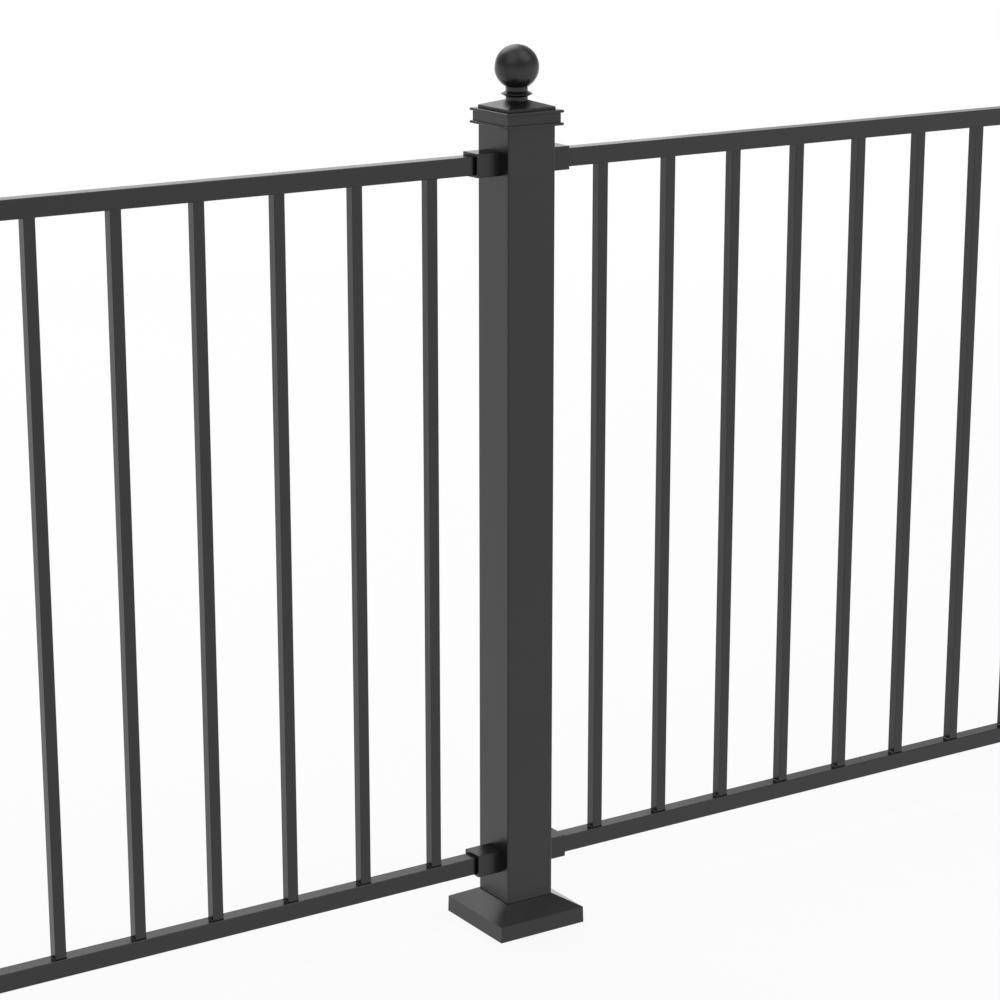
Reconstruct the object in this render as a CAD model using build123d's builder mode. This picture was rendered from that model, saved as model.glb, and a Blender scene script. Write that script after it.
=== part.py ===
"""Ball top railing: three square posts with ball caps carry two welded picket panels in sleeve brackets.

Millimetres. The origin is on the deck at the foot of the centre post, X runs along the railing,
-Y faces the front and +Z is up.
"""
import math
import os

from build123d import *

os.makedirs("parts", exist_ok=True)

# Layout of the run
bay_clear = 1828.8
post_width = 76.2
bay_pitch = bay_clear + post_width

# Posts
post_wall = 2.6
post_corner = 2.8
post_top = 1171.5
post_clearance = 0.3
post_opening = post_width + 2 * post_clearance
opening_corner = post_corner + post_clearance

# Base plates under the covers, bolted to the deck
plate_margin = 25.4
plate_width = post_width + 2 * plate_margin
plate_thickness = 9.5
plate_cut = 8.0
anchor_inset = 12.7
anchor_spacing = plate_width - 2 * anchor_inset
anchor_hole_dia = 11.1

# Base covers that hide the plates
cover_margin = 7.6
cover_width = plate_width + 2 * cover_margin
cover_skirt = 23.4
cover_draft = 1.2
cover_pitch = 28.4
cover_wall = 2.5
cover_rim = 0.8

# Picket panels
picket_count = 15
picket_width = 15.875
picket_wall = 1.2
picket_end_gap = 93.5
picket_pitch = (bay_clear - 2 * picket_end_gap - picket_width) / (picket_count - 1)
rail_height = 25.4
rail_ledge = 3.15
rail_depth = picket_width + 2 * rail_ledge
rail_wall = 1.6
bar_chamfer = 0.8
weld_leg = 1.2
low_rail_under = 86.1
panel_height = 1031.5
rail_end_gap = 5.0

# Sleeve brackets that hold the rail ends
bracket_length = 36.8
bracket_wall = 2.95
bracket_head = 3.8
bracket_back = 3.0
bracket_chamfer = 0.7
bracket_side_gap = 3.45
bracket_head_gap = 0.4
sleeve_depth = rail_depth + 2 * bracket_side_gap
sleeve_height = rail_height + bracket_head_gap
bracket_depth = sleeve_depth + 2 * bracket_wall
bracket_height = bracket_wall + sleeve_height + bracket_head

# Post caps
cap_lap = 16.8
band_wall = 4.6
band_width = post_opening + 2 * band_wall
band_height = 13.15
flange_overhang = 3.2
flange_width = band_width + 2 * flange_overhang
flange_thickness = 4.0
flange_round = 1.9
step_inset = 5.1
step_width = band_width - 2 * step_inset
step_height = 4.15
roof_pitch = 17.0
socket_depth = 6.0
socket_clearance = 0.15

# Ball finials
ball_dia = 60.9
ball_rise = 52.0
neck_dia = 30.4
bore_dia = 16.0
ring_dia = 43.0
ring_rise = 16.2
ring_root = 7.6
ring_tip = 0.8

# Heights that follow from the sizes above
low_rail_top = low_rail_under + rail_height
top_rail_top = low_rail_under + panel_height
top_rail_under = top_rail_top - rail_height
cap_under = post_top - cap_lap
step_under = cap_under + 2 * flange_thickness + band_height
roof_eave = step_under + step_height
roof_height = math.tan(math.radians(roof_pitch)) * (step_width - neck_dia / 2) / 2
socket_floor = roof_eave + math.tan(math.radians(roof_pitch)) * (step_width - neck_dia) / 2 - socket_depth
ring_centre = roof_eave + ring_rise
ball_centre = roof_eave + ball_rise


def chamfered_rectangle(width, depth, cut):
    """Points of a rectangle with its corners cut off, anticlockwise."""
    x = width / 2
    y = depth / 2
    return [
        (x - cut, -y), (x, -y + cut), (x, y - cut), (x - cut, y),
        (-x + cut, y), (-x, y - cut), (-x, -y + cut), (-x + cut, -y),
    ]


def make_post(x):
    """Square tube with rounded corners, standing on the base plate."""
    with BuildPart() as post:
        with BuildSketch(Plane(origin=(x, 0, plate_thickness))):
            RectangleRounded(post_width, post_width, post_corner)
            Rectangle(post_width - 2 * post_wall, post_width - 2 * post_wall, mode=Mode.SUBTRACT)
        extrude(amount=post_top - plate_thickness)
    return post.part


def make_base_plate(x):
    """Square plate with cut corners and an anchor hole near each."""
    with BuildPart() as plate:
        with BuildSketch(Plane(origin=(x, 0, 0))):
            Polygon(*chamfered_rectangle(plate_width, plate_width, plate_cut))
            with GridLocations(anchor_spacing, anchor_spacing, 2, 2):
                Circle(anchor_hole_dia / 2, mode=Mode.SUBTRACT)
        extrude(amount=plate_thickness)
    return plate.part


def make_base_cover(x):
    """Hollow cover with a drafted skirt and a sloping top that closes round the post."""
    draft = math.tan(math.radians(cover_draft))
    slope = math.tan(math.radians(cover_pitch))
    shoulder_width = cover_width - 2 * draft * cover_skirt
    slope_height = slope * ((shoulder_width - post_opening) / 2 - cover_rim)
    inner_width = cover_width - 2 * cover_wall
    inner_skirt = cover_skirt + slope * cover_wall - cover_wall / math.cos(math.radians(cover_pitch))
    inner_shoulder = inner_width - 2 * draft * inner_skirt
    inner_slope_height = slope * (inner_shoulder - post_opening) / 2
    with BuildPart() as cover:
        with BuildSketch(Plane(origin=(x, 0, 0))):
            Rectangle(cover_width, cover_width)
        extrude(amount=cover_skirt, taper=cover_draft)
        with BuildSketch(Plane(origin=(x, 0, cover_skirt))):
            Rectangle(shoulder_width, shoulder_width)
        extrude(amount=slope_height, taper=90 - cover_pitch)
        with BuildSketch(Plane(origin=(x, 0, 0))):
            Rectangle(inner_width, inner_width)
        extrude(amount=inner_skirt, taper=cover_draft, mode=Mode.SUBTRACT)
        with BuildSketch(Plane(origin=(x, 0, inner_skirt))):
            Rectangle(inner_shoulder, inner_shoulder)
        extrude(amount=inner_slope_height, taper=90 - cover_pitch, mode=Mode.SUBTRACT)
        with BuildSketch(Plane(origin=(x, 0, 0))):
            RectangleRounded(post_opening, post_opening, opening_corner)
        extrude(amount=cover_skirt + slope_height, mode=Mode.SUBTRACT)
    return cover.part


def make_flange(x, z):
    """Square plate with a bullnose edge all round and mitred corners."""
    with BuildPart() as flange:
        with BuildSketch(Plane(origin=(x, 0, z))):
            Rectangle(flange_width, flange_width)
        extrude(amount=flange_thickness)
        fillet(flange.edges().filter_by(Axis.Z, reverse=True), radius=flange_round)
    return flange.part


def make_post_cap(x):
    """Cap with two bullnose flanges, a band between them and a low pyramid roof."""
    low_flange = make_flange(x, cap_under)
    high_flange = make_flange(x, cap_under + flange_thickness + band_height)
    with BuildPart() as cap:
        add(low_flange)
        add(high_flange)
        with BuildSketch(Plane(origin=(x, 0, cap_under + flange_thickness / 2))):
            Rectangle(band_width, band_width)
        extrude(amount=band_height + flange_thickness)
        with BuildSketch(Plane(origin=(x, 0, step_under - flange_thickness / 2))):
            Rectangle(step_width, step_width)
        extrude(amount=step_height + flange_thickness / 2)
        with BuildSketch(Plane(origin=(x, 0, roof_eave))):
            Rectangle(step_width, step_width)
        extrude(amount=roof_height, taper=90 - roof_pitch)
        with BuildSketch(Plane(origin=(x, 0, cap_under))):
            RectangleRounded(post_opening, post_opening, opening_corner)
        extrude(amount=post_top - cap_under, mode=Mode.SUBTRACT)
        with BuildSketch(Plane(origin=(x, 0, socket_floor))):
            Circle(neck_dia / 2 + socket_clearance)
        extrude(amount=roof_eave + roof_height - socket_floor, mode=Mode.SUBTRACT)
    return cap.part


def make_ball_finial(x):
    """Cast ball on a bored neck with a sharp ring, seated in the socket of the cap."""
    ball = ball_dia / 2
    neck = neck_dia / 2
    bore = bore_dia / 2
    ring = ring_dia / 2
    neck_top = ball_centre - math.sqrt(ball**2 - neck**2)
    with BuildPart() as finial:
        with BuildSketch(Plane(origin=(x, 0, 0), x_dir=(1, 0, 0), z_dir=(0, -1, 0))):
            with BuildLine():
                Polyline(
                    (0, ball_centre), (bore, ball_centre), (bore, socket_floor), (neck, socket_floor),
                    (neck, ring_centre - ring_root / 2), (ring, ring_centre - ring_tip / 2),
                    (ring, ring_centre + ring_tip / 2), (neck, ring_centre + ring_root / 2), (neck, neck_top),
                )
                ThreePointArc((neck, neck_top), (ball, ball_centre), (0, ball_centre + ball))
                Line((0, ball_centre + ball), (0, ball_centre))
            make_face()
        revolve(axis=Axis((x, 0, 0), (0, 0, 1)))
    return finial.part


def make_bracket(face_x, direction, rail_under):
    """Sleeve closed against the post face, with the rail resting on its floor."""
    outer_middle = rail_under - bracket_wall + bracket_height / 2
    sleeve_middle = rail_under + sleeve_height / 2
    sleeve_x = face_x + direction * bracket_back
    with BuildPart() as bracket:
        with BuildSketch(Plane((face_x, 0, outer_middle), x_dir=(0, 1, 0), z_dir=(direction, 0, 0))):
            Polygon(*chamfered_rectangle(bracket_depth, bracket_height, bracket_chamfer))
        extrude(amount=bracket_length)
        with BuildSketch(Plane((sleeve_x, 0, sleeve_middle), x_dir=(0, 1, 0), z_dir=(direction, 0, 0))):
            Rectangle(sleeve_depth, sleeve_height)
        extrude(amount=bracket_length - bracket_back, mode=Mode.SUBTRACT)
    return bracket.part


def make_panel(x):
    """Two hollow rails with hollow pickets let into them and weld beads on both sides of each picket end."""
    rail_length = bay_clear - 2 * rail_end_gap
    rail_start = x - rail_length / 2
    rail_middles = (low_rail_under + rail_height / 2, top_rail_under + rail_height / 2)
    picket_start = low_rail_top - rail_wall
    picket_length = top_rail_under + rail_wall - picket_start
    weld_length = picket_width - 2 * bar_chamfer
    weld_top = picket_width / 2
    weld_foot = weld_top + weld_leg
    with BuildPart() as panel:
        for middle in rail_middles:
            with BuildSketch(Plane(origin=(rail_start, 0, middle), x_dir=(0, 1, 0), z_dir=(1, 0, 0))):
                Polygon(*chamfered_rectangle(rail_depth, rail_height, bar_chamfer))
            extrude(amount=rail_length)
        with BuildSketch(Plane(origin=(x, 0, picket_start))):
            with GridLocations(picket_pitch, 0, picket_count, 1):
                Polygon(*chamfered_rectangle(picket_width, picket_width, bar_chamfer))
        extrude(amount=picket_length)
        for seat, direction in ((low_rail_top, 1), (top_rail_under, -1)):
            bead = [(-weld_foot, 0), (weld_foot, 0), (weld_top, weld_leg), (-weld_top, weld_leg)]
            with BuildSketch(Plane((x, 0, seat), x_dir=(1, 0, 0), z_dir=(0, -direction, 0))):
                with GridLocations(picket_pitch, 0, picket_count, 1):
                    Polygon(*bead, align=None)
            extrude(amount=weld_length / 2, both=True)
        for middle in rail_middles:
            with BuildSketch(Plane(origin=(rail_start, 0, middle), x_dir=(0, 1, 0), z_dir=(1, 0, 0))):
                Rectangle(rail_depth - 2 * rail_wall, rail_height - 2 * rail_wall)
            extrude(amount=rail_length, mode=Mode.SUBTRACT)
        with BuildSketch(Plane(origin=(x, 0, picket_start))):
            with GridLocations(picket_pitch, 0, picket_count, 1):
                Rectangle(picket_width - 2 * picket_wall, picket_width - 2 * picket_wall)
        extrude(amount=picket_length, mode=Mode.SUBTRACT)
    return panel.part


def save(part, name):
    """Labels a piece and writes it to the parts folder."""
    part.label = name
    export_step(part, f"parts/{name}.step")


for side, post_x in (("left", -bay_pitch), ("centre", 0.0), ("right", bay_pitch)):
    save(make_post(post_x), f"{side}_post")
    save(make_base_plate(post_x), f"{side}_base_plate")
    save(make_base_cover(post_x), f"{side}_base_cover")
    save(make_post_cap(post_x), f"{side}_post_cap")
    save(make_ball_finial(post_x), f"{side}_ball_finial")

for side, middle_x in (("left", -bay_pitch / 2), ("right", bay_pitch / 2)):
    save(make_panel(middle_x), f"{side}_panel")
    for level, rail_under in (("lower", low_rail_under), ("upper", top_rail_under)):
        save(make_bracket(middle_x - bay_clear / 2, 1, rail_under), f"{side}_panel_{level}_start_bracket")
        save(make_bracket(middle_x + bay_clear / 2, -1, rail_under), f"{side}_panel_{level}_end_bracket")
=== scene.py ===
"""Ball top railing: satin black powder coat on the CAD nodes, a pale studio and the photograph's camera."""
import math

import bpy
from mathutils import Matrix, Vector

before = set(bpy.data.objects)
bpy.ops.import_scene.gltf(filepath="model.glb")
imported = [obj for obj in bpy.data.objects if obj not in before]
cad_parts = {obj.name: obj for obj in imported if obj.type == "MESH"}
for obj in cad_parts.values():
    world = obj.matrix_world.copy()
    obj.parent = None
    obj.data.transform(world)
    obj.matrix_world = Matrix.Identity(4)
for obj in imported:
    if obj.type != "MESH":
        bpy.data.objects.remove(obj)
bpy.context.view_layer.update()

# Camera of the photograph: a 20 degree lens, 15 degrees down, 33 degrees off square to the fence
CAMERA_PLACE = (-2.12332, -3.19914, 1.65374)
CAMERA_HEADING = math.radians(33.2365)
CAMERA_DIP = math.radians(14.9564)
CAMERA_FIELD = math.radians(20.0)

# Studio: a pale floor, an even surround, white at the horizon, and softboxes round the centre post
FLOOR_HALF = 60.0
FLOOR_COLOUR = (0.9, 0.9, 0.9, 1.0)
FLOOR_SHADOW_SHARE = 0.12
FLOOR_SHADOW_REACH = (2.4, 6.0)
SURROUND_LEVEL = 0.39
HORIZON_GLOW = 0.06
LAMP_TARGET = Vector((0.0, 0.0, 0.6))
# Each softbox: name, azimuth from +Y toward +X, elevation, distance, width, height, level of its face
SOFTBOXES = (
    ("back_key", 8.0, 50.0, 5.0, 3.4, 3.0, 2.3),
    ("back_wide", 22.0, 28.0, 5.0, 6.6, 4.0, 0.26),
    ("back_fill", 12.0, 22.0, 5.0, 5.0, 2.4, 0.26),
    ("back_horizon", 12.0, 6.0, 5.0, 5.4, 1.0, 0.8),
    ("left_side", -112.0, 50.0, 5.0, 4.2, 3.6, 0.86),
    ("front_side", 148.0, 55.0, 5.0, 3.8, 3.6, 1.3),
    ("front_horizon", 138.0, 12.0, 5.0, 4.4, 2.2, 0.2),
    ("overhead", 0.0, 89.0, 5.0, 4.6, 3.4, 0.52),
)

# Powder coat: colour clouds, roughness, and the fine ripple that the sprayed coat dries with.
# Between the two facing values of its glance, the roughness falls to a share of itself.
COAT_IOR = 1.53
GLANCE_ROUGH = 0.4
TUBE_COAT = {
    "dark": (0.0035, 0.0035, 0.0036, 1.0),
    "light": (0.0060, 0.0060, 0.0061, 1.0),
    "rough": (0.27, 0.33),
    "glance": (0.5, 0.9),
    "ripple": 620.0,
    "depth": 0.00002,
}
CAST_COAT = {
    "dark": (0.0035, 0.0035, 0.0036, 1.0),
    "light": (0.0060, 0.0060, 0.0061, 1.0),
    "rough": (0.32, 0.39),
    "glance": (0.68, 0.92),
    "ripple": 480.0,
    "depth": 0.00003,
}
CLOUD_SCALE = 5.0
CAST_NODES = ("base_cover", "post_cap", "ball_finial", "bracket")


def link(tree, source, output, target, socket):
    """Join one node's output to another's input."""
    tree.links.new(source.outputs[output], target.inputs[socket])


def powder_coat(name, finish):
    """Satin powder coat: faint clouds in colour and gloss, and an orange-peel ripple."""
    material = bpy.data.materials.new(name)
    material.use_nodes = True
    tree = material.node_tree
    shader = tree.nodes["Principled BSDF"]
    shader.inputs["IOR"].default_value = COAT_IOR
    shader.inputs["Metallic"].default_value = 0.0

    place = tree.nodes.new("ShaderNodeTexCoord")
    cloud = tree.nodes.new("ShaderNodeTexNoise")
    cloud.inputs["Scale"].default_value = CLOUD_SCALE
    cloud.inputs["Detail"].default_value = 4.0
    link(tree, place, "Object", cloud, "Vector")

    tint = tree.nodes.new("ShaderNodeValToRGB")
    tint.color_ramp.elements[0].position = 0.35
    tint.color_ramp.elements[0].color = finish["dark"]
    tint.color_ramp.elements[1].position = 0.65
    tint.color_ramp.elements[1].color = finish["light"]
    link(tree, cloud, "Fac", tint, "Fac")
    link(tree, tint, "Color", shader, "Base Color")

    gloss = tree.nodes.new("ShaderNodeMapRange")
    gloss.inputs["From Min"].default_value = 0.3
    gloss.inputs["From Max"].default_value = 0.7
    gloss.inputs["To Min"].default_value = finish["rough"][0]
    gloss.inputs["To Max"].default_value = finish["rough"][1]
    link(tree, cloud, "Fac", gloss, "Value")
    view = tree.nodes.new("ShaderNodeLayerWeight")
    view.inputs["Blend"].default_value = 0.5
    glance = tree.nodes.new("ShaderNodeMapRange")
    glance.inputs["From Min"].default_value = finish["glance"][0]
    glance.inputs["From Max"].default_value = finish["glance"][1]
    glance.inputs["To Min"].default_value = 1.0
    glance.inputs["To Max"].default_value = GLANCE_ROUGH
    link(tree, view, "Facing", glance, "Value")
    rough = tree.nodes.new("ShaderNodeMath")
    rough.operation = "MULTIPLY"
    link(tree, gloss, "Result", rough, 0)
    link(tree, glance, "Result", rough, 1)
    link(tree, rough, 0, shader, "Roughness")

    ripple = tree.nodes.new("ShaderNodeTexNoise")
    ripple.inputs["Scale"].default_value = finish["ripple"]
    ripple.inputs["Detail"].default_value = 2.0
    link(tree, place, "Object", ripple, "Vector")
    bump = tree.nodes.new("ShaderNodeBump")
    bump.inputs["Strength"].default_value = 1.0
    bump.inputs["Distance"].default_value = finish["depth"]
    link(tree, ripple, "Fac", bump, "Height")
    link(tree, bump, "Normal", shader, "Normal")
    return material


def dress_nodes():
    """Give every CAD node the coat of its slot."""
    tube = powder_coat("satin_tube_coat", TUBE_COAT)
    cast = powder_coat("satin_cast_coat", CAST_COAT)
    for name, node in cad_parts.items():
        coat = cast if name.endswith(CAST_NODES) else tube
        for slot in node.material_slots:
            slot.material = coat


def seen_directly(tree):
    """Light Path switch that is 1 for the rays that show the background: camera, glossy, transmission."""
    path = tree.nodes.new("ShaderNodeLightPath")
    mirrored = tree.nodes.new("ShaderNodeMath")
    mirrored.operation = "MAXIMUM"
    link(tree, path, "Is Glossy Ray", mirrored, 0)
    link(tree, path, "Is Transmission Ray", mirrored, 1)
    seen = tree.nodes.new("ShaderNodeMath")
    seen.operation = "MAXIMUM"
    link(tree, path, "Is Camera Ray", seen, 0)
    link(tree, mirrored, 0, seen, 1)
    return seen


def lay_floor():
    """Pale floor that shows white and takes the railing's shadow near it."""
    mesh = bpy.data.meshes.new("studio_floor")
    corners = [(-FLOOR_HALF, -FLOOR_HALF, 0.0), (FLOOR_HALF, -FLOOR_HALF, 0.0),
               (FLOOR_HALF, FLOOR_HALF, 0.0), (-FLOOR_HALF, FLOOR_HALF, 0.0)]
    mesh.from_pydata(corners, [], [(0, 1, 2, 3)])
    floor = bpy.data.objects.new("studio_floor", mesh)
    bpy.context.scene.collection.objects.link(floor)

    material = bpy.data.materials.new("studio_floor")
    material.use_nodes = True
    tree = material.node_tree
    tree.nodes.clear()
    output = tree.nodes.new("ShaderNodeOutputMaterial")
    matt = tree.nodes.new("ShaderNodeBsdfDiffuse")
    matt.inputs["Color"].default_value = FLOOR_COLOUR
    white = tree.nodes.new("ShaderNodeEmission")
    white.inputs["Strength"].default_value = 1.0

    place = tree.nodes.new("ShaderNodeTexCoord")
    reach = tree.nodes.new("ShaderNodeVectorMath")
    reach.operation = "LENGTH"
    link(tree, place, "Object", reach, 0)
    fade = tree.nodes.new("ShaderNodeMapRange")
    fade.interpolation_type = "SMOOTHSTEP"
    fade.inputs["From Min"].default_value = FLOOR_SHADOW_REACH[0]
    fade.inputs["From Max"].default_value = FLOOR_SHADOW_REACH[1]
    fade.inputs["To Min"].default_value = 1.0 - FLOOR_SHADOW_SHARE
    fade.inputs["To Max"].default_value = 1.0
    link(tree, reach, "Value", fade, "Value")

    share = tree.nodes.new("ShaderNodeMath")
    share.operation = "MULTIPLY"
    link(tree, seen_directly(tree), 0, share, 0)
    link(tree, fade, "Result", share, 1)
    mix = tree.nodes.new("ShaderNodeMixShader")
    link(tree, share, 0, mix, 0)
    link(tree, matt, 0, mix, 1)
    link(tree, white, 0, mix, 2)
    link(tree, mix, 0, output, "Surface")
    floor.data.materials.append(material)


def light_surround():
    """Even surround above a white horizon, which meets the floor's far edge without a line."""
    world = bpy.data.worlds.new("studio_surround")
    bpy.context.scene.world = world
    world.use_nodes = True
    tree = world.node_tree
    shade = tree.nodes["Background"]
    shade.inputs["Color"].default_value = (1.0, 1.0, 1.0, 1.0)
    way = tree.nodes.new("ShaderNodeTexCoord")
    rise = tree.nodes.new("ShaderNodeSeparateXYZ")
    link(tree, way, "Generated", rise, "Vector")
    glow = tree.nodes.new("ShaderNodeMapRange")
    glow.interpolation_type = "SMOOTHSTEP"
    glow.inputs["From Min"].default_value = 0.0
    glow.inputs["From Max"].default_value = HORIZON_GLOW
    glow.inputs["To Min"].default_value = 1.0
    glow.inputs["To Max"].default_value = SURROUND_LEVEL
    link(tree, rise, "Z", glow, "Value")
    link(tree, glow, "Result", shade, "Strength")


def hang_softbox(name, azimuth, elevation, distance, width, height, level):
    """One soft lamp whose face shines at the given level toward the railing."""
    lamp = bpy.data.lights.new(name, "AREA")
    lamp.shape = "RECTANGLE"
    lamp.size = width
    lamp.size_y = height
    lamp.energy = level * math.pi * width * height
    box = bpy.data.objects.new(name, lamp)
    bpy.context.scene.collection.objects.link(box)
    turn, rise = math.radians(azimuth), math.radians(elevation)
    way = Vector((math.sin(turn) * math.cos(rise), math.cos(turn) * math.cos(rise), math.sin(rise)))
    box.location = LAMP_TARGET + way * distance
    box.rotation_euler = way.to_track_quat("Z", "Y").to_euler()
    box.visible_camera = False


def set_camera():
    """The photograph's viewpoint."""
    lens = bpy.data.cameras.new("photo_camera")
    lens.sensor_fit = "HORIZONTAL"
    lens.angle = CAMERA_FIELD
    camera = bpy.data.objects.new("photo_camera", lens)
    bpy.context.scene.collection.objects.link(camera)
    camera.location = CAMERA_PLACE
    camera.rotation_euler = (math.pi / 2 - CAMERA_DIP, 0.0, -CAMERA_HEADING)
    bpy.context.scene.camera = camera


dress_nodes()
lay_floor()
light_surround()
for softbox in SOFTBOXES:
    hang_softbox(*softbox)
set_camera()
bpy.context.scene.view_settings.view_transform = "Standard"
